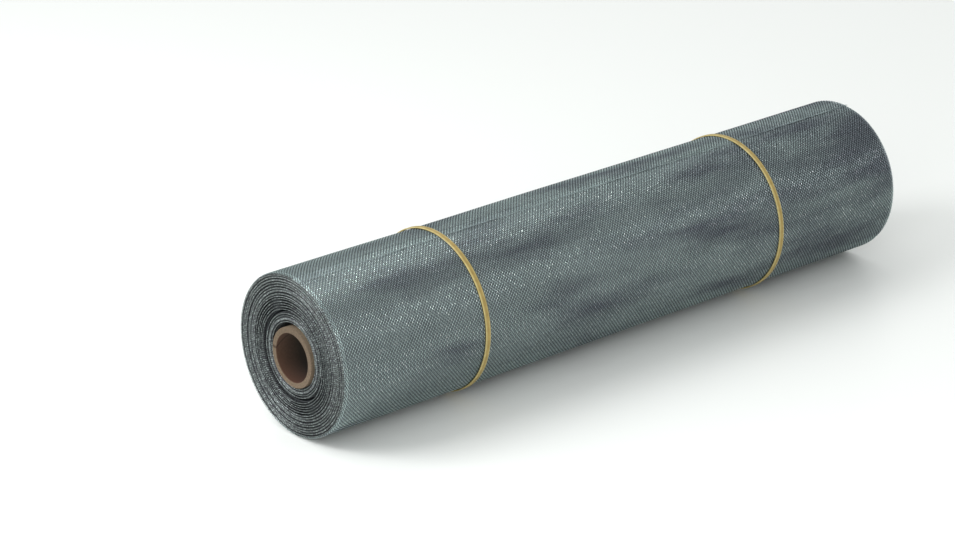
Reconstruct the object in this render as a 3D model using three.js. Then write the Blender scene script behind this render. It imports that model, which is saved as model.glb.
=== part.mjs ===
// A roll of woven metal insect screen, wound on a cardboard tube and held by two rubber bands.
//
// The roll lies on its side along X, and its near end faces -X. It rests on the floor, Z = 0.
// All sizes are in millimetres.

import * as THREE from 'three';

// Screen cloth. Its width is the length of the roll.
const CLOTH_WIDTH = 600;
const ROLL_DIAMETER = 132;

// The outermost turns give way at their edges, so the roll's rims are a little round.
const RIM_ROUNDING = 2;
const RIM_STEPS = 3;

// About seven turns lie between two grooves. The edges of single turns are too fine to cut here.
const TURN_GROOVE_PITCH = 3.4;
const TURN_GROOVE_WIDTH = 0.8;
const TURN_GROOVE_DEPTH = 1.2;

// The first turns sit in a packet of their own, with a loose gap between it and the later turns.
// The packet has slid along the tube, so it lies deeper at the near end and stands out at the far one.
const FIRST_TURNS_THICKNESS = 8.4;
const FIRST_TURNS_SLIP = 1.2;
const LOOSE_GAP_WIDTH = 1.8;
const LOOSE_GAP_DEPTH = 14;

// Cardboard tube, cut as long as the cloth is wide. The cloth is wound on it with some slack, so it
// hangs low in the roll's bore.
const TUBE_DIAMETER = 48.8;
const TUBE_WALL = 4.7;
const TUBE_CHAMFER = 0.5;
const TUBE_SLACK = 1.8;

// Rubber bands, each placed by its distance from the nearer end of the roll.
const BAND_WIDTH = 5.2;
const BAND_THICKNESS = 1.1;
const BAND_CHAMFER = 0.3;
const NEAR_BAND_DISTANCE = 140;
const FAR_BAND_DISTANCE = 138;

// Pieces that touch keep this much air between them.
const TOUCH_GAP = 0.3;

// Flat sides round each piece. An even number puts one of them right at the bottom.
const SIDES = 48;

// The next values follow from the ones above.
const rollRadius = ROLL_DIAMETER / 2;
const tubeRadius = TUBE_DIAMETER / 2;
const boreRadius = tubeRadius + TUBE_SLACK;
const firstTurnsRadius = boreRadius + FIRST_TURNS_THICKNESS;
const laterTurnsRadius = firstTurnsRadius + LOOSE_GAP_WIDTH;
const bandInnerRadius = rollRadius + TOUCH_GAP;
const bandOuterRadius = bandInnerRadius + BAND_THICKNESS;
const rollEnd = CLOTH_WIDTH / 2;

// A flat side lies closer to the axis than its corners do.
const flatSideShare = Math.cos(Math.PI / SIDES);
const rollAxisHeight = bandOuterRadius * flatSideShare;
const tubeDrop = TUBE_SLACK * flatSideShare - TOUCH_GAP;

// Turns a closed outline about the X axis. Each of its points is a place along X and a radius.
// The outline runs towards +X on the outside of the piece, and back on its inside.
function turned(outline) {
  const points = outline.map(([along, radius]) => new THREE.Vector2(radius, along));
  points.push(points[0].clone());
  const geometry = new THREE.LatheGeometry(points, SIDES, Math.PI / SIDES);
  geometry.rotateZ(-Math.PI / 2);
  return geometry;
}

// The V grooves between two radii, from the outer one in. Each point is a depth and a radius.
function turnGrooves(outerRadius, innerRadius, depth) {
  const packets = Math.max(1, Math.round((outerRadius - innerRadius) / TURN_GROOVE_PITCH));
  const pitch = (outerRadius - innerRadius) / packets;
  const points = [];
  for (let groove = 1; groove < packets; groove += 1) {
    const middle = outerRadius - groove * pitch;
    points.push([depth, middle + TURN_GROOVE_WIDTH / 2]);
    points.push([depth + TURN_GROOVE_DEPTH, middle]);
    points.push([depth, middle - TURN_GROOVE_WIDTH / 2]);
  }
  return points;
}

// One end of the wound cloth, from its rim in to its bore. Each point is a depth and a radius.
function clothEnd(firstTurnsDepth) {
  const points = [];
  for (let step = 0; step <= RIM_STEPS; step += 1) {
    const angle = (step / RIM_STEPS) * (Math.PI / 2);
    points.push([
      RIM_ROUNDING * (1 - Math.sin(angle)),
      rollRadius - RIM_ROUNDING * (1 - Math.cos(angle)),
    ]);
  }
  points.push(...turnGrooves(rollRadius - RIM_ROUNDING, laterTurnsRadius, 0));
  points.push([0, laterTurnsRadius]);
  points.push([LOOSE_GAP_DEPTH, laterTurnsRadius]);
  points.push([LOOSE_GAP_DEPTH, firstTurnsRadius]);
  points.push([firstTurnsDepth, firstTurnsRadius]);
  points.push(...turnGrooves(firstTurnsRadius, boreRadius, firstTurnsDepth));
  points.push([firstTurnsDepth, boreRadius]);
  return points;
}

// The wound cloth is one solid, with its turns showing on both ends.
function meshRoll() {
  const farEnd = clothEnd(-FIRST_TURNS_SLIP).map(([depth, radius]) => [rollEnd - depth, radius]);
  const nearEnd = clothEnd(FIRST_TURNS_SLIP).map(([depth, radius]) => [depth - rollEnd, radius]);
  return turned([...farEnd, ...nearEnd.reverse()]);
}

// A plain ring with its four edges chamfered.
function ring(halfLength, innerRadius, outerRadius, chamfer) {
  return turned([
    [-halfLength + chamfer, outerRadius],
    [halfLength - chamfer, outerRadius],
    [halfLength, outerRadius - chamfer],
    [halfLength, innerRadius + chamfer],
    [halfLength - chamfer, innerRadius],
    [-halfLength + chamfer, innerRadius],
    [-halfLength, innerRadius + chamfer],
    [-halfLength, outerRadius - chamfer],
  ]);
}

function coreTube() {
  return ring(rollEnd, tubeRadius - TUBE_WALL, tubeRadius, TUBE_CHAMFER);
}

function rubberBand() {
  return ring(BAND_WIDTH / 2, bandInnerRadius, bandOuterRadius, BAND_CHAMFER);
}

const screenMetal = new THREE.MeshStandardMaterial({
  color: 0x77858a,
  roughness: 0.45,
  metalness: 0.8,
});
const cardboard = new THREE.MeshStandardMaterial({
  color: 0xa58c70,
  roughness: 0.9,
  metalness: 0,
});
const yellowRubber = new THREE.MeshStandardMaterial({
  color: 0xcdb448,
  roughness: 0.6,
  metalness: 0,
});

function piece(name, geometry, material) {
  const mesh = new THREE.Mesh(geometry, material);
  mesh.name = name;
  return mesh;
}

const mesh_roll = piece('mesh_roll', meshRoll(), screenMetal);

const core_tube = piece('core_tube', coreTube(), cardboard);
core_tube.position.z = -tubeDrop;

const rubber_band_near = piece('rubber_band_near', rubberBand(), yellowRubber);
rubber_band_near.position.x = -rollEnd + NEAR_BAND_DISTANCE;

const rubber_band_far = piece('rubber_band_far', rubberBand(), yellowRubber);
rubber_band_far.position.x = rollEnd - FAR_BAND_DISTANCE;

// The roll's axis is lifted so that the bands touch the floor. The whole roll is moved by half of
// what the first turns stand out at the far end, so that X = 0 is the middle of its full length.
const roll = new THREE.Group();
roll.add(mesh_roll, core_tube, rubber_band_near, rubber_band_far);
roll.position.set(-FIRST_TURNS_SLIP / 2, 0, rollAxisHeight);

export default roll;
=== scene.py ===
"""A roll of woven insect screen on a cardboard tube, held by two rubber bands.

Lengths are in metres, in the frame of the CAD model: X runs along the roll, Z is up, and the floor
is Z = 0. Angles round the roll are measured from straight up towards -Y, the camera's side, and the
near end is the one that faces -X.
"""
import math

import bpy
import numpy as np
from mathutils import Matrix, Vector


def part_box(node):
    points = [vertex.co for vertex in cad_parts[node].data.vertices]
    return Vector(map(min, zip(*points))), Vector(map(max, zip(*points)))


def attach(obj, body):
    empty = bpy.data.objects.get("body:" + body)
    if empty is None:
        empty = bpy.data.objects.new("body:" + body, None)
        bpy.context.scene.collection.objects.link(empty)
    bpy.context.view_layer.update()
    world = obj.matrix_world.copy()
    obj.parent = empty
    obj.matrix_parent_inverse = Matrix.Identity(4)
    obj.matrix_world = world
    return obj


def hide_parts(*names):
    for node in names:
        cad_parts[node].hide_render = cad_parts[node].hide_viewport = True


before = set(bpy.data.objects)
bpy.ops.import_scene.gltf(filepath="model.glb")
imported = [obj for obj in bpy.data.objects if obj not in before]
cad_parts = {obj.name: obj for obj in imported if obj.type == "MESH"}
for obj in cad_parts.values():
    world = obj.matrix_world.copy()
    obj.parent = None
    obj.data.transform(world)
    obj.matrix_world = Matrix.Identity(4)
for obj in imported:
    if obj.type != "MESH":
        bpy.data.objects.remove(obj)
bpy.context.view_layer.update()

MM = 0.001
TURN = 2 * math.pi

# The roll, as the CAD model has it. Its first turns stand out a little at the far end.
roll_low, roll_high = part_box("mesh_roll")
FIRST_TURNS_SLIP = 1.2 * MM
NEAR_END = roll_low.x
FAR_END = roll_high.x - FIRST_TURNS_SLIP
CLOTH_WIDTH = FAR_END - NEAR_END
AXIS_HEIGHT = (roll_low.z + roll_high.z) / 2
ROLL_RADIUS = 66 * MM
BORE_RADIUS = 26.2 * MM
FIRST_TURNS_RADIUS = 34.6 * MM
LATER_TURNS_RADIUS = 36.4 * MM
LOOSE_GAP_DEPTH = 14 * MM

# The tube, which hangs low in the roll's bore. It is wound of plies with a spiral seam, and daylight
# reaches only a little way in.
tube_low, tube_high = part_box("core_tube")
TUBE_HEIGHT = (tube_low.z + tube_high.z) / 2
TUBE_RADIUS = 24.4 * MM
TUBE_WALL = 4.7 * MM
TUBE_BORE_RADIUS = TUBE_RADIUS - TUBE_WALL
TUBE_SIDES = 128
PLY_PITCH = 0.62 * MM
SEAM_PITCH = 110 * MM
DAYLIGHT_DEPTH = 21 * MM

# The rubber bands. They press into the cloth, so they lie nearly on the roll's radius.
BAND_WIDTH = 5.2 * MM
BAND_THICKNESS = 1.1 * MM
BAND_LIFT = 0.06 * MM
BAND_SIDES = 180

# The woven cloth has 18 by 16 wires to the inch. The wires are drawn thicker and more crimped than
# the real 0.25 mm ones, which would be a quarter of a pixel wide. Their places vary by a share of
# the pitch, and the long wires are nearly straight.
ROUND_WIRE_PITCH = 1.44 * MM
LONG_WIRES = 250
LONG_WIRE_PITCH = TURN * ROLL_RADIUS / LONG_WIRES
HALF_WIRE = 0.19 * MM
EAVES_DROP = 0.3 * HALF_WIRE
ROUND_WIRE_CRIMP = 0.2 * MM
LONG_WIRE_CRIMP = 0.06 * MM
WEAVE_VARIATION = 0.03
TURN_THICKNESS = 0.47 * MM
MESH_SECTIONS = 5

# The wires that go round stand closer in the selvedges.
SELVEDGE_WIRES = 4
SELVEDGE_PITCH = 0.95 * MM

# Painted light on the wires, from 0 for painted shade to 1 for a painted glint: painted highlights on
# the crimp tops, the selvedges and the free end, and the long wires painted darker than the crimp tops,
# as shade.
CRIMP_TOP = 0.72
CRIMP_FOOT = 0.02
SELVEDGE_TOP = 0.85
LONG_WIRE_TOP = 0.12
FREE_END_TOP = 0.35
PAINTED_LIGHT_VARIATION = 0.05
GLINT_SHARE = 0.12

# The cloth's edge curls in a little at the rims, less than the solid's rim does.
RIM_ROUNDING = 1.2 * MM

# The cloth's free end lies on the top of the roll, cut a little askew.
FREE_END_NEAR = math.radians(10.0)
FREE_END_FAR = math.radians(5.5)
FREE_END_OVERLAP = 0.02
TUCKED_WIRES = 6

# The turns below are one body. Its skin steps up a little way under the free end.
SKIN_DEPTH = 1.05 * MM
SKIN_STEP = math.radians(6)
SKIN_SIDES = 256

# On the ends, one ring stands for four or five turns, because single turns are half a pixel wide.
RING_PITCH = 2.1 * MM
RING_FOOT_DEPTH = 3.2 * MM
RING_SHOULDER = 0.55 * MM
KNUCKLE_HEIGHT = 0.35 * MM
OUTERMOST_RING = ROLL_RADIUS - 1.1 * MM

# The turns are slackest about halfway out, where dark lines show between them.
SLACKEST_RADIUS = 40 * MM
SLACK_SPREAD = 9 * MM

# The cut end of every fifth wire or so stands up from the turns' edges.
CUT_END_PITCH = 5 * LONG_WIRE_PITCH
CUT_END_ROOT = 0.5 * MM
CUT_END_RADIUS = 0.22 * MM

# Sizes of the patterns: cloudy patches and the drift between turns on the cloth, specks on its
# edges, paper fibres, and the waxy bloom of the rubber.
CLOUD_SIZE = 26.3 * MM
DRIFT_SIZE = 111 * MM
SPECK_SIZE = 1.5 * MM
FIBRE_SIZE = 1.43 * MM
BLOOM_SIZE = 3.85 * MM

rng = np.random.default_rng(18)


# Small helpers

def add_piece(name, mesh, material, node):
    """Adds a piece that stays with the roll and is drawn instead of one of its solids."""
    obj = bpy.data.objects.new(name, mesh)
    bpy.context.scene.collection.objects.link(obj)
    mesh.materials.append(material)
    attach(obj, "root")
    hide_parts(node)


def mesh_from_arrays(name, points, quads, crest=None, smooth=True):
    """A mesh from an array of points and an array of four corner numbers for each face. Points that
    no face uses are left out. A face whose last two corners are the same is a triangle."""
    kept, corners = np.unique(quads, return_inverse=True)
    corners = corners.reshape(quads.shape)
    mesh = bpy.data.meshes.new(name)
    mesh.vertices.add(len(kept))
    mesh.vertices.foreach_set("co", points[kept].astype(np.float32).ravel())
    sides = np.where(corners[:, 3] == corners[:, 2], 3, 4)
    starts = np.concatenate([[0], np.cumsum(sides)[:-1]])
    used = np.arange(4)[None, :] < sides[:, None]
    mesh.loops.add(int(sides.sum()))
    mesh.loops.foreach_set("vertex_index", corners[used].astype(np.int32))
    mesh.polygons.add(len(corners))
    mesh.polygons.foreach_set("loop_start", starts.astype(np.int32))
    mesh.polygons.foreach_set("use_smooth", np.full(len(corners), smooth))
    if crest is not None:
        attribute = mesh.attributes.new("crest", "FLOAT", "POINT")
        attribute.data.foreach_set("value", crest[kept].astype(np.float32))
    mesh.update(calc_edges=True)
    return mesh


def around(x, angle, radius, height=AXIS_HEIGHT):
    """Points at places along the roll, angles round it and distances from its axis."""
    x, angle, radius = np.broadcast_arrays(x, angle, radius)
    return np.stack([x, -radius * np.sin(angle), height + radius * np.cos(angle)], -1)


def ring_faces(rows, columns, first=0, close_rows=False):
    """Faces of a net of rows by columns whose columns run round a ring. Rows close up too, or not."""
    n = first + np.arange(rows * columns).reshape(rows, columns)
    after = np.roll(n, -1, 1)
    up, after_up = np.roll(n, -1, 0), np.roll(after, -1, 0)
    quads = np.stack([n, after, after_up, up], -1)
    return (quads if close_rows else quads[:-1]).reshape(-1, 4)


def smooth_noise(angle, waves, size):
    """A seamless random curve round the roll, made of its first few waves."""
    total = np.zeros_like(angle, dtype=float)
    for wave in range(1, waves + 1):
        total = total + rng.normal() * np.sin(wave * angle + rng.uniform(0, TURN)) / wave
    return total * size


def linear(hex_colour):
    """An sRGB colour such as "c8b06a", as the linear colour that a shader takes."""
    channels = [int(hex_colour[place:place + 2], 16) / 255 for place in (0, 2, 4)]
    return (*(c / 12.92 if c <= 0.04045 else ((c + 0.055) / 1.055) ** 2.4 for c in channels), 1.0)


def add_node(material, kind, inputs=None, **settings):
    """Adds a node, sets it up and links its inputs, given by name or number."""
    tree = material.node_tree
    node = tree.nodes.new("ShaderNode" + kind)
    for name, value in settings.items():
        setattr(node, name, value)
    for name, value in (inputs or {}).items():
        if isinstance(value, bpy.types.NodeSocket):
            tree.links.new(value, node.inputs[name])
        else:
            node.inputs[name].default_value = value
    if kind == "OutputMaterial":
        return None
    return node.outputs[2] if kind == "Mix" else node.outputs[0]


def colour_ramp(material, factor, *stops):
    """A colour ramp. Each stop is a place from 0 to 1 and an sRGB hex colour."""
    colour = add_node(material, "ValToRGB", {"Fac": factor})
    ramp = colour.node.color_ramp
    while len(ramp.elements) < len(stops):
        ramp.elements.new(0.5)
    for element, (place, hex_colour) in zip(ramp.elements, stops):
        element.position = place
        element.color = linear(hex_colour)
    return colour


def mix_colours(material, factor, first, second, blend="MIX"):
    return add_node(
        material, "Mix", {0: factor, 6: first, 7: second}, data_type="RGBA", blend_type=blend)


def new_material(name):
    material = bpy.data.materials.new(name)
    material.use_nodes = True
    material.node_tree.nodes.clear()
    return material


def finish_material(material, inputs):
    """Ends a material in one shader, with its colour and finish."""
    shader = add_node(material, "BsdfPrincipled", inputs)
    add_node(material, "OutputMaterial", {"Surface": shader})
    return material


# The camera. Its lens and place come from fitting the roll's outline in the photo.

LENS = 120.6
CAMERA_FROM_ROLL = (-24.781 * ROLL_RADIUS, -26.985 * ROLL_RADIUS, 15.054 * ROLL_RADIUS)
CAMERA_RIGHT = (0.76035, -0.64951, 0.0)
CAMERA_UP = (0.25085, 0.29366, 0.92242)
CAMERA_BACK = (-0.59911, -0.70136, 0.38622)


def make_camera():
    """The camera, at the angle of the photo."""
    camera = bpy.data.objects.new("camera", bpy.data.cameras.new("camera"))
    bpy.context.scene.collection.objects.link(camera)
    camera.data.sensor_width = 36
    camera.data.lens = LENS
    middle = Vector(((NEAR_END + FAR_END) / 2, 0, AXIS_HEIGHT))
    turned = Matrix((CAMERA_RIGHT, CAMERA_UP, CAMERA_BACK)).transposed().to_4x4()
    camera.matrix_world = Matrix.Translation(middle + Vector(CAMERA_FROM_ROLL)) @ turned
    camera.data.clip_start = 0.05
    camera.data.clip_end = 50
    bpy.context.scene.camera = camera


# Materials

def place_in_frame(material):
    """The place in the frame, and the node that splits it into X, Y and Z."""
    place = add_node(material, "TexCoord").node.outputs["Object"]
    return place, add_node(material, "SeparateXYZ", {0: place}).node


def crest_of(material):
    """The crest kept in the mesh, from 0 in its hollows to 1 on its brightest tops. On the wires and the
    turns' edges it is painted light: painted shade in the hollows, painted highlight on the tops.
    """
    return add_node(material, "Attribute", attribute_name="crest").node.outputs["Fac"]


def cylinder_coordinates(material, axis_height=AXIS_HEIGHT):
    """The place, how far it is along an axis, its angle round the axis and its distance from it."""
    place, split = place_in_frame(material)
    up = add_node(material, "Math", {0: split.outputs["Z"], 1: axis_height}, operation="SUBTRACT")
    angle = add_node(material, "Math", {0: split.outputs["Y"], 1: up}, operation="ARCTAN2")
    flat = add_node(material, "CombineXYZ", {1: split.outputs["Y"], 2: up})
    radius = add_node(material, "VectorMath", {0: flat}, operation="LENGTH").node.outputs["Value"]
    return place, split.outputs["X"], angle, radius


def distance_to_row(material, value, pitch):
    """How far a value is from the nearest of evenly spaced rows, as a share of their pitch."""
    counted = add_node(material, "Math", {0: value, 1: pitch}, operation="DIVIDE")
    return add_node(material, "Math", {0: counted, 1: 0.5}, operation="PINGPONG")


def cloudy(material, place, x, colour, darkest):
    """Shades a colour in long soft patches, as the turns below drift in and out of step with those on
    top. There are more dark patches towards the far end, as painted shade there."""
    stretch = {0: place, 1: (0.25, 1.0, 1.0)}
    stretched = add_node(material, "VectorMath", stretch, operation="MULTIPLY")
    noise = add_node(material, "TexNoise", {"Vector": stretched, "Scale": 1 / CLOUD_SIZE, "Detail": 2.0})
    # Painted shade: more dark patches towards the far end.
    far_end_shade = add_node(material, "MapRange", {
        "Value": x, "From Min": NEAR_END, "From Max": FAR_END, "To Min": 0.2, "To Max": -0.07})
    eased = add_node(material, "Math", {0: noise, 1: far_end_shade}, operation="ADD")
    shade = colour_ramp(material, eased, (0.34, darkest), (0.6, "ffffff"))
    return mix_colours(material, 1.0, colour, shade, "MULTIPLY")


def screen_wire_material():
    """Drawn aluminium wire with a dull mill finish. The tops of its crimps carry a painted highlight, a
    few of them a painted glint, and the wire between them is painted dark as shade, grey with a touch of
    violet."""
    material = new_material("mill_finish_aluminium_wire")
    place, split = place_in_frame(material)
    crest = crest_of(material)
    # Painted light: highlight on the crimp tops and glints, shade on the wire between them.
    wire = colour_ramp(material, crest, (0.0, "3f4046"), (CRIMP_TOP, "d2e8e6"), (1.0, "ffffff"))
    colour = cloudy(material, place, split.outputs["X"], wire, "c6c1cb")
    rough = add_node(material, "MapRange", {"Value": crest, "To Min": 0.55, "To Max": 0.17})
    return finish_material(material, {"Base Color": colour, "Roughness": rough, "Metallic": 1.0})


def under_turn_material():
    """The turns under the outermost one, seen through its openings: wires in rows, painted darker than
    those on top as shade, and gaps painted nearly black as the shade of the turns deeper down. The rows
    are a little off those on top, so the two drift in and out of step as real turns do, and give the
    roll its cloudy look."""
    material = new_material("aluminium_screen_under_turns")
    place, x, angle = cylinder_coordinates(material)[:3]
    drift = add_node(material, "TexNoise", {"Vector": place, "Scale": 1 / DRIFT_SIZE, "Detail": 1.0})
    shift = add_node(material, "MapRange", {
        "Value": drift, "To Min": -1.5 * ROUND_WIRE_PITCH, "To Max": 1.5 * ROUND_WIRE_PITCH})
    slid = add_node(material, "Math", {0: x, 1: shift}, operation="ADD")
    near_round = distance_to_row(material, slid, ROUND_WIRE_PITCH * 1.003)
    near_long = distance_to_row(material, angle, TURN / (LONG_WIRES - 2))
    nearest = add_node(material, "Math", {0: near_round, 1: near_long}, operation="MINIMUM")
    # Painted shade: dim wires, and nearly black gaps for the turns deeper down.
    wire = colour_ramp(material, nearest, (0.08, "70777a"), (0.24, "242227"))
    colour = cloudy(material, place, x, wire, "b0a9b6")
    return finish_material(material, {"Base Color": colour, "Roughness": 0.6, "Metallic": 0.6})


def turn_edge_material():
    """Cut and folded wire edges of the turns: bright specks of wire ends, painted as a highlight on the
    ridges and knuckles, on metal painted dark as the shade on the ends, and painted shade in the slots
    between the turns. The specks are drawn two to five times as wide as the real wire, because finer
    ones wouldn't show."""
    material = new_material("aluminium_screen_turn_edges")
    place, x, angle, radius = cylinder_coordinates(material)
    specks = add_node(material, "TexVoronoi", {"Vector": place, "Scale": 1 / SPECK_SIZE})
    arc = add_node(material, "Math", {0: angle, 1: radius}, operation="MULTIPLY")
    near_long = distance_to_row(material, arc, LONG_WIRE_PITCH)
    near_round = distance_to_row(material, x, ROUND_WIRE_PITCH)
    nearest = add_node(material, "Math", {0: near_round, 1: near_long}, operation="MINIMUM")
    # Painted highlight in the specks, on the ridges and knuckles; painted shade, nearly black, on the
    # rest of the edges and in the slots.
    painted_highlight_specks = colour_ramp(material, specks, (0.12, "dae6e6"), (0.45, "88938f"), (0.9, "5a5a5f"))
    painted_edge_shade = colour_ramp(material, nearest, (0.1, "3c3a41"), (0.25, "0c090d"))
    colour = mix_colours(material, crest_of(material), painted_edge_shade, painted_highlight_specks)
    return finish_material(material, {"Base Color": colour, "Roughness": 0.45, "Metallic": 0.9})


def cardboard_material():
    """Wound kraft paper: matt, light brown but painted darker as the shade on the ends, with fine
    fibres, the rings of its plies on the ends and their spiral seam inside. Inside the bore it is
    painted dark as shade, nearly black deeper than daylight reaches."""
    material = new_material("wound_kraft_cardboard")
    place, x, angle, radius = cylinder_coordinates(material, TUBE_HEIGHT)
    fibres = add_node(material, "TexNoise", {"Vector": place, "Scale": 1 / FIBRE_SIZE, "Detail": 5.0})
    # Painted shade: the paper is darker than kraft, as the shade on the ends.
    paper = colour_ramp(material, fibres, (0.25, "584b3c"), (0.75, "736452"))
    plies = distance_to_row(material, radius, PLY_PITCH)
    ply_shade = colour_ramp(material, plies, (0.0, "b9a088"), (0.2, "ffffff"))
    paper = mix_colours(material, 1.0, paper, ply_shade, "MULTIPLY")
    inside = add_node(material, "MapRange", {
        "Value": radius, "From Min": TUBE_BORE_RADIUS - 0.1 * MM,
        "From Max": TUBE_BORE_RADIUS + 0.4 * MM, "To Min": 1.0, "To Max": 0.0})
    from_middle = add_node(material, "Math", {0: x}, operation="ABSOLUTE")
    near_mouth = add_node(material, "MapRange", {
        "Value": from_middle, "From Min": CLOTH_WIDTH / 2 - DAYLIGHT_DEPTH,
        "From Max": CLOTH_WIDTH / 2})
    # Painted shade inside the bore, nearly black deeper than daylight reaches.
    painted_bore_shade = colour_ramp(material, near_mouth, (0.0, "0a0503"), (1.0, "462819"))
    paper = mix_colours(material, inside, paper, painted_bore_shade)
    run = add_node(material, "MapRange", {
        "Value": angle, "From Min": -math.pi, "From Max": math.pi, "To Max": SEAM_PITCH})
    seam_place = add_node(material, "Math", {0: x, 1: run}, operation="ADD")
    seam = distance_to_row(material, seam_place, SEAM_PITCH)
    seam_shade = colour_ramp(material, seam, (0.0, "8c7a6c"), (0.012, "ffffff"))
    paper = mix_colours(material, 1.0, paper, seam_shade, "MULTIPLY")
    bump = add_node(material, "Bump", {"Height": fibres, "Strength": 0.4, "Distance": 0.2 * MM})
    return finish_material(material, {"Base Color": paper, "Roughness": 0.9, "Normal": bump})


def rubber_material():
    """Natural rubber, yellow and slightly waxy. Its edges and raised ridges are paler, and its hollow
    middle is a deeper, warmer yellow."""
    material = new_material("natural_yellow_rubber")
    place = add_node(material, "TexCoord").node.outputs["Object"]
    bloom = add_node(material, "TexNoise", {"Vector": place, "Scale": 1 / BLOOM_SIZE, "Detail": 4.0})
    middle = colour_ramp(material, bloom, (0.3, "92793c"), (0.7, "a68c4a"))
    edge = colour_ramp(material, bloom, (0.3, "a3935a"), (0.7, "b9ab74"))
    colour = mix_colours(material, crest_of(material), middle, edge)
    bump = add_node(material, "Bump", {"Height": bloom, "Strength": 0.3, "Distance": 0.2 * MM})
    return finish_material(material, {
        "Base Color": colour, "Roughness": 0.55, "IOR": 1.52, "Normal": bump})


# The outermost turn, woven wire by wire

def rim_drop(x):
    """How far the cloth lies below the roll's full radius, where its edges curl in at the rims."""
    inset = np.clip(np.minimum(x - NEAR_END, FAR_END - x), 0, RIM_ROUNDING)
    return RIM_ROUNDING - np.sqrt(RIM_ROUNDING ** 2 - (RIM_ROUNDING - inset) ** 2)


def round_wire_places():
    """Where the wires that go round the roll lie along it. They stand closer in the selvedges."""
    edge = SELVEDGE_PITCH * (np.arange(SELVEDGE_WIRES) + 0.4)
    inner = edge[-1] + ROUND_WIRE_PITCH
    count = round((CLOTH_WIDTH - 2 * inner) / ROUND_WIRE_PITCH)
    middle = np.linspace(inner, CLOTH_WIDTH - inner, count + 1)
    return NEAR_END + np.concatenate([edge, middle, CLOTH_WIDTH - edge[::-1]])


def ripple(x, angle):
    """The slight waviness of the cloth. Each wave has a rate along the roll and one round it, and a
    height in millimetres."""
    total = np.zeros(np.broadcast(x, angle).shape)
    for along, about, lift in ((11, 3, 0.10), (23, 5, 0.07), (37, 2, 0.06), (17, 8, 0.05)):
        total = total + lift * MM * np.sin(along * x + about * angle + rng.uniform(0, TURN))
    return total


def roof(x, angle, radius, across, about):
    """The ridge and the two eaves of a wire, at each of its crossings."""
    eaves = radius - EAVES_DROP
    return np.stack([
        around(x - across, angle - about, eaves),
        around(x, angle, radius + HALF_WIRE),
        around(x + across, angle + about, eaves),
    ], -2)


def make_woven_turn(material):
    """The outermost turn, in lengths. Each is a mesh of the wires that go round the roll and those
    that go along it."""
    places = round_wire_places()
    crossings = LONG_WIRES + TUCKED_WIRES
    angles = max(FREE_END_NEAR, FREE_END_FAR) - TURN / LONG_WIRES * np.arange(crossings)
    x, angle = np.meshgrid(places, angles, indexing="ij")
    x = x + rng.normal(0, WEAVE_VARIATION, (len(places), 1)) * ROUND_WIRE_PITCH
    angle = angle + rng.normal(0, WEAVE_VARIATION, (1, crossings)) * TURN / LONG_WIRES
    free_end = FREE_END_NEAR + (FREE_END_FAR - FREE_END_NEAR) * (x - NEAR_END) / CLOTH_WIDTH
    in_cloth = angle <= free_end
    side = 1 - 2 * (np.add.outer(np.arange(len(places)), np.arange(crossings)) % 2)
    radius = ROLL_RADIUS - HALF_WIRE - ROUND_WIRE_CRIMP - rim_drop(x) + ripple(x, angle)
    radius = radius - TURN_THICKNESS * (free_end - angle) / TURN

    round_wires = roof(x, angle, radius + side * ROUND_WIRE_CRIMP, HALF_WIRE, 0)
    long_wires = roof(x, angle, radius - side * LONG_WIRE_CRIMP, 0, -HALF_WIRE / ROLL_RADIUS)
    points = np.concatenate([round_wires.reshape(-1, 3), long_wires.reshape(-1, 3)])
    # Painted light on the round wires: painted highlight on the crimp tops and a few glints, painted
    # shade at their feet, and the long wires painted darker, as shade.
    painted_light = np.where(side > 0, CRIMP_TOP, CRIMP_FOOT) + rng.normal(0, PAINTED_LIGHT_VARIATION, side.shape)
    painted_light[(side > 0) & (rng.random(side.shape) < GLINT_SHARE)] = 1.0
    # The selvedges show as dotted light lines, because their crimps stand out and carry a painted
    # highlight.
    for edge in (painted_light[1:SELVEDGE_WIRES], painted_light[-SELVEDGE_WIRES:-1]):
        edge[edge > CRIMP_TOP / 2] = SELVEDGE_TOP
    crest = np.concatenate([np.repeat(painted_light, 3), np.full(x.size * 3, LONG_WIRE_TOP)])

    # The long wires are nearly straight, so they have corners at every second crossing only.
    numbers = np.arange(x.size * 3).reshape(*x.shape, 3)
    cuts = 2 * np.linspace(0, (len(places) - 1) // 2, MESH_SECTIONS + 1).astype(int)
    for section, (first, last) in enumerate(zip(cuts[:-1], cuts[1:])):
        last_round = len(places) if section == MESH_SECTIONS - 1 else last
        n = numbers[first:last_round]
        whole = in_cloth[first:last_round, :-1] & in_cloth[first:last_round, 1:]
        quads = [
            np.stack([n[:, 1:, k], n[:, :-1, k], n[:, :-1, k + 1], n[:, 1:, k + 1]], -1)[whole]
            for k in (0, 1)
        ]
        n = numbers[first:last + 1:2] + x.size * 3
        whole = in_cloth[first:last + 1:2]
        whole = whole[:-1] & whole[1:]
        quads += [
            np.stack([n[:-1, :, k], n[:-1, :, k + 1], n[1:, :, k + 1], n[1:, :, k]], -1)[whole]
            for k in (0, 1)
        ]
        mesh = mesh_from_arrays("woven_turn", points, np.concatenate(quads), crest)
        add_piece(f"woven_turn_{section + 1}", mesh, material, "mesh_roll")


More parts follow.
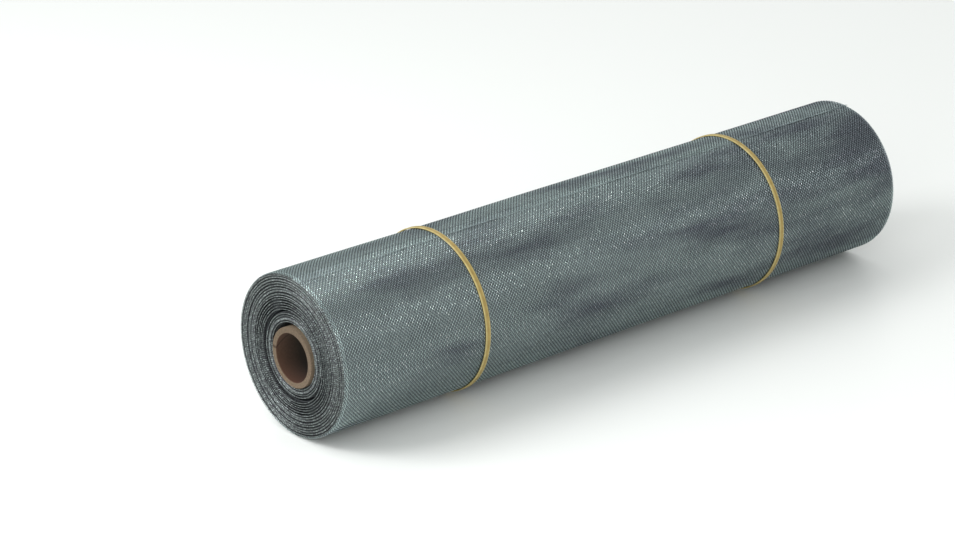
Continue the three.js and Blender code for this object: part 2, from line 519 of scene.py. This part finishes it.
def make_free_end(material):
    """The cut ends of the wires that go round, sticking out past the last long wire. Each starts a
    little before it, so that it meets the woven turn."""
    places = round_wire_places()
    share = (places - NEAR_END) / CLOTH_WIDTH
    start = FREE_END_NEAR + (FREE_END_FAR - FREE_END_NEAR) * share
    length = rng.uniform(0.3, 1.3, len(places)) * MM / ROLL_RADIUS
    lift = rng.uniform(-0.1, 0.35, len(places)) * MM
    along = rng.normal(0, 0.15, len(places)) * MM
    radius = ROLL_RADIUS - ROUND_WIRE_CRIMP
    rows_of_points = [
        roof(places, start - FREE_END_OVERLAP, np.full(len(places), radius), HALF_WIRE, 0),
        roof(places + along / 2, start, radius + lift / 2, HALF_WIRE, 0),
        roof(places + along, start + length, radius + lift, 0.7 * HALF_WIRE, 0),
    ]
    points = np.stack(rows_of_points, 1).reshape(-1, 3)
    n = np.arange(len(points)).reshape(len(places), 3, 3)
    quads = [
        np.stack([n[:, step, k], n[:, step + 1, k], n[:, step + 1, k + 1], n[:, step, k + 1]], -1)
        for step in (0, 1) for k in (0, 1)
    ]
    quads = np.concatenate(quads)[:, ::-1]
    # The cut ends carry a faint painted highlight.
    mesh = mesh_from_arrays("free_end", points, quads, np.full(len(points), FREE_END_TOP))
    add_piece("free_end_wires", mesh, material, "mesh_roll")


# The turns under it and their edges on the two ends

def make_under_turns(material):
    """The body of the roll, with the loose gap cut into both of its ends."""
    foot = RING_FOOT_DEPTH
    skin = ROLL_RADIUS - SKIN_DEPTH
    half = [
        (foot, BORE_RADIUS), (foot, FIRST_TURNS_RADIUS), (LOOSE_GAP_DEPTH, FIRST_TURNS_RADIUS),
        (LOOSE_GAP_DEPTH, LATER_TURNS_RADIUS), (foot, LATER_TURNS_RADIUS), (foot, skin),
    ]
    outline = [(NEAR_END + depth, radius) for depth, radius in half]
    outline += [(FAR_END - depth, radius) for depth, radius in half[::-1]]
    x, radius = np.array(outline).T
    # The skin winds inwards a little, as the outermost turn does, and steps back up under its end.
    share = np.arange(SKIN_SIDES) / SKIN_SIDES
    angle = FREE_END_FAR - SKIN_STEP - share * TURN
    sunk = np.where(radius[:, None] == skin, share * TURN_THICKNESS, 0)
    points = around(x[:, None], angle, radius[:, None] - sunk)
    quads = ring_faces(len(outline), SKIN_SIDES, close_rows=True)[:, ::-1]
    mesh = mesh_from_arrays("under_turns", points.reshape(-1, 3), quads, smooth=False)
    add_piece("under_turns", mesh, material, "mesh_roll")


def ring_layout():
    """The middle radius and the body width of each ring of turns, from the bore to the skin."""
    rings = []
    for low, high in ((BORE_RADIUS, FIRST_TURNS_RADIUS), (LATER_TURNS_RADIUS, OUTERMOST_RING)):
        count = round((high - low) / RING_PITCH)
        borders = np.linspace(low, high, count + 1)
        borders[1:-1] += rng.uniform(-0.2, 0.2, count - 1) * RING_PITCH
        for inner, outer in zip(borders[:-1], borders[1:]):
            middle = (inner + outer) / 2
            slack = 0.45 + 0.6 * math.exp(-((middle - SLACKEST_RADIUS) / SLACK_SPREAD) ** 2)
            slack = slack * rng.uniform(0.6, 1.4) * MM
            rings.append((middle, outer - inner - slack))
    return rings


def make_turn_edges(material, rings):
    """The edges of the turns on both ends. The edge wire of a turn is crimped, so each ring has a
    knuckle at every long wire. A turn that has slid in at one end stands out at the other, because
    the cloth is equally wide everywhere."""
    near_points, far_points, crests, quads, first = [], [], [], [], 0
    for middle, width in rings:
        knuckles = round(TURN * middle / LONG_WIRE_PITCH)
        angle = rng.uniform(0, TURN) + np.arange(2 * knuckles) * TURN / (2 * knuckles)
        knuckle = np.arange(2 * knuckles) % 2
        slip = smooth_noise(angle, 3, 0.15 * MM) + rng.normal(0, 0.25) * MM
        slip = slip + FIRST_TURNS_SLIP * (middle < FIRST_TURNS_RADIUS)
        centre = middle + smooth_noise(angle, 4, 0.1 * MM)
        inset = max(0, middle + width / 2 - (ROLL_RADIUS - RIM_ROUNDING))
        curl = RIM_ROUNDING - math.sqrt(RIM_ROUNDING ** 2 - inset ** 2)
        inner_foot = outer_foot = RING_FOOT_DEPTH
        if abs(middle - width / 2 - LATER_TURNS_RADIUS) < RING_PITCH / 2:
            inner_foot = LOOSE_GAP_DEPTH
        if abs(middle + width / 2 - FIRST_TURNS_RADIUS) < RING_PITCH / 2:
            outer_foot = LOOSE_GAP_DEPTH
        shoulder = RING_SHOULDER + curl
        # Each corner has a place across the ring, a depth, its share in the slip and its crest, which
        # paints a highlight on the knuckles and shade at the feet.
        section = [
            (-0.5, inner_foot, 0, 0.0 * knuckle),
            (-0.5, shoulder, 1, 0.06 + 0.24 * knuckle),
            (0.0, KNUCKLE_HEIGHT * (1 - knuckle) + curl, 1, 0.15 + 0.85 * knuckle),
            (0.5, shoulder, 1, 0.06 + 0.24 * knuckle),
            (0.5, outer_foot, 0, 0.0 * knuckle),
        ]
        quads.append(ring_faces(len(section), len(angle), first))
        first += len(section) * len(angle)
        for across, depth, slides, crest in section:
            radius = centre + across * width
            near_points.append(around(NEAR_END + depth + slides * slip, angle, radius))
            far_points.append(around(FAR_END - depth + slides * slip, angle, radius))
            crests.append(crest)
    quads = np.concatenate(quads)
    for name, points, corners in (
        ("turn_edges_near", near_points, quads),
        ("turn_edges_far", far_points, quads[:, ::-1]),
    ):
        mesh = mesh_from_arrays(name, np.concatenate(points), corners, np.concatenate(crests))
        add_piece(name, mesh, material, "mesh_roll")


def make_wire_ends(material, rings):
    """The wires' cut ends, which stand up from the turns' edges as fine points."""
    for name, end, outward in (("wire_ends_near", NEAR_END, -1), ("wire_ends_far", FAR_END, 1)):
        points, crests = [], []
        for middle, width in rings[:-1]:
            count = int(TURN * middle / CUT_END_PITCH)
            angle = rng.uniform(0, TURN, count)
            radius = middle + rng.uniform(-0.35, 0.35, count) * width
            base = end - outward * CUT_END_ROOT
            if middle < FIRST_TURNS_RADIUS:
                base = base + FIRST_TURNS_SLIP
            tip = base + outward * rng.uniform(0.4, 0.85, count) * MM
            for corner in range(3):
                turned = corner * TURN / 3 + rng.uniform(0, TURN, count)
                about = CUT_END_RADIUS * np.sin(turned) / middle
                away = CUT_END_RADIUS * np.cos(turned)
                points.append(around(base, angle + about, radius + away))
            points.append(around(tip, angle, radius))
            # The tips carry a painted highlight.
            crests += [np.full(count, 0.6)] * 3 + [np.ones(count)]
        quads, first = [], 0
        for corners in zip(points[0::4], points[1::4], points[2::4], points[3::4]):
            count = len(corners[0])
            a, b, c, tip = (first + k * count + np.arange(count) for k in range(4))
            quads += [np.stack([p, q, tip, tip], -1) for p, q in ((a, b), (b, c), (c, a))]
            first += 4 * count
        mesh = mesh_from_arrays(
            name, np.concatenate(points), np.concatenate(quads), np.concatenate(crests))
        add_piece(name, mesh, material, "mesh_roll")


# The tube and the rubber bands

def make_core_tube(material):
    """The cardboard tube, with softened edges and its plies standing a little apart at the ends."""
    outer, inner = TUBE_RADIUS, TUBE_BORE_RADIUS
    # Each corner of an end has a depth in millimetres and a radius.
    ends = [(0.6, outer), (0.15, outer - 0.2 * MM)]
    for ply in np.arange(outer - 0.6 * MM, inner + 0.5 * MM, -PLY_PITCH):
        ends += [(0.0, ply + 0.1 * MM), (0.14, ply)]
    ends += [(0.0, inner + 0.4 * MM), (0.2, inner + 0.1 * MM), (0.7, inner)]
    near = [(tube_low.x + depth * MM, radius) for depth, radius in ends]
    far = [(tube_high.x - depth * MM, radius) for depth, radius in ends[::-1]]
    x, radius = np.array(near + far).T
    angle = np.linspace(0, TURN, TUBE_SIDES, endpoint=False)
    wobble = smooth_noise(angle, 3, 0.06 * MM)
    points = around(x[:, None], angle, radius[:, None] + wobble, TUBE_HEIGHT)
    quads = ring_faces(len(x), TUBE_SIDES, close_rows=True)[:, ::-1]
    mesh = mesh_from_arrays("core_tube_paper", points.reshape(-1, 3), quads)
    add_piece("core_tube_paper", mesh, material, "core_tube")


def make_rubber_band(node, material):
    """A flat rubber band with a hollow middle and soft edges, stretched a little unevenly."""
    low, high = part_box(node)
    angle = np.linspace(0, TURN, BAND_SIDES, endpoint=False)
    # Each corner has a place across the band, a height above the cloth and how pale it is.
    section = [
        (-0.5, 0.35, 0.8), (-0.46, 0.75, 1.0), (-0.36, 1.0, 1.0), (-0.16, 0.86, 0.2),
        (0.0, 0.82, 0.0), (0.16, 0.86, 0.2), (0.36, 1.0, 1.0), (0.46, 0.75, 1.0),
        (0.5, 0.35, 0.8), (0.42, 0.0, 0.4), (-0.42, 0.0, 0.4),
    ]
    wander = smooth_noise(angle, 4, 0.35 * MM)
    width = BAND_WIDTH * (0.95 + smooth_noise(angle, 5, 0.02))
    points, crests = [], []
    for across, lift, crest in section:
        x = (low.x + high.x) / 2 + wander + across * width
        radius = ROLL_RADIUS + BAND_LIFT + lift * BAND_THICKNESS
        points.append(around(x, angle, radius))
        crests.append(np.full(len(angle), crest))
    quads = ring_faces(len(section), len(angle), close_rows=True)
    mesh = mesh_from_arrays(
        node + "_rubber", np.concatenate(points), quads[:, ::-1], np.concatenate(crests))
    add_piece(node + "_rubber", mesh, material, node)


# The studio. The lamps were matched to the light on the roll and the floor in the photo.

# How far the floor reaches to each side of the roll.
FLOOR_REACH = 6


def make_light(name, place, size, power):
    """A square white lamp that faces the middle of the roll. Its power is in watts."""
    light = bpy.data.objects.new(name, bpy.data.lights.new(name, "AREA"))
    bpy.context.scene.collection.objects.link(light)
    light.data.size = size
    light.data.energy = power
    light.location = place
    aim = light.location - Vector((0, 0, AXIS_HEIGHT))
    light.rotation_euler = aim.to_track_quat("Z", "Y").to_euler()


def make_studio():
    """A white floor, an even pale sky and three soft lamps."""
    mesh = bpy.data.meshes.new("floor")
    corners = [(x * FLOOR_REACH, y * FLOOR_REACH, 0) for x, y in ((-1, -1), (1, -1), (1, 1), (-1, 1))]
    mesh.from_pydata(corners, [], [(0, 1, 2, 3)])
    floor = bpy.data.objects.new("floor", mesh)
    bpy.context.scene.collection.objects.link(floor)
    # Matt white board with a faint sheen, which takes a soft shadow.
    board = new_material("white_studio_board")
    mesh.materials.append(finish_material(board, {"Base Color": linear("f6f8f6"), "Roughness": 0.4}))

    world = bpy.data.worlds.new("studio")
    bpy.context.scene.world = world
    world.use_nodes = True
    sky = world.node_tree.nodes["Background"]
    sky.inputs["Color"].default_value = linear("fdfffe")
    sky.inputs["Strength"].default_value = 0.78
    make_light("lamp_beyond_near_end", (-1.3, 0.5, 1.0), 0.8, 17)
    make_light("lamp_in_front", (-1.6, -1.2, 0.9), 1.0, 12.5)
    make_light("lamp_behind", (-1.2, 4.8, 6.8), 3.0, 42)
    bpy.context.scene.view_settings.view_transform = "Standard"


make_camera()
wire = screen_wire_material()
make_woven_turn(wire)
make_free_end(wire)
make_under_turns(under_turn_material())
edges = turn_edge_material()
rings = ring_layout()
make_turn_edges(edges, rings)
make_wire_ends(edges, rings)
make_core_tube(cardboard_material())
rubber = rubber_material()
make_rubber_band("rubber_band_near", rubber)
make_rubber_band("rubber_band_far", rubber)
make_studio()
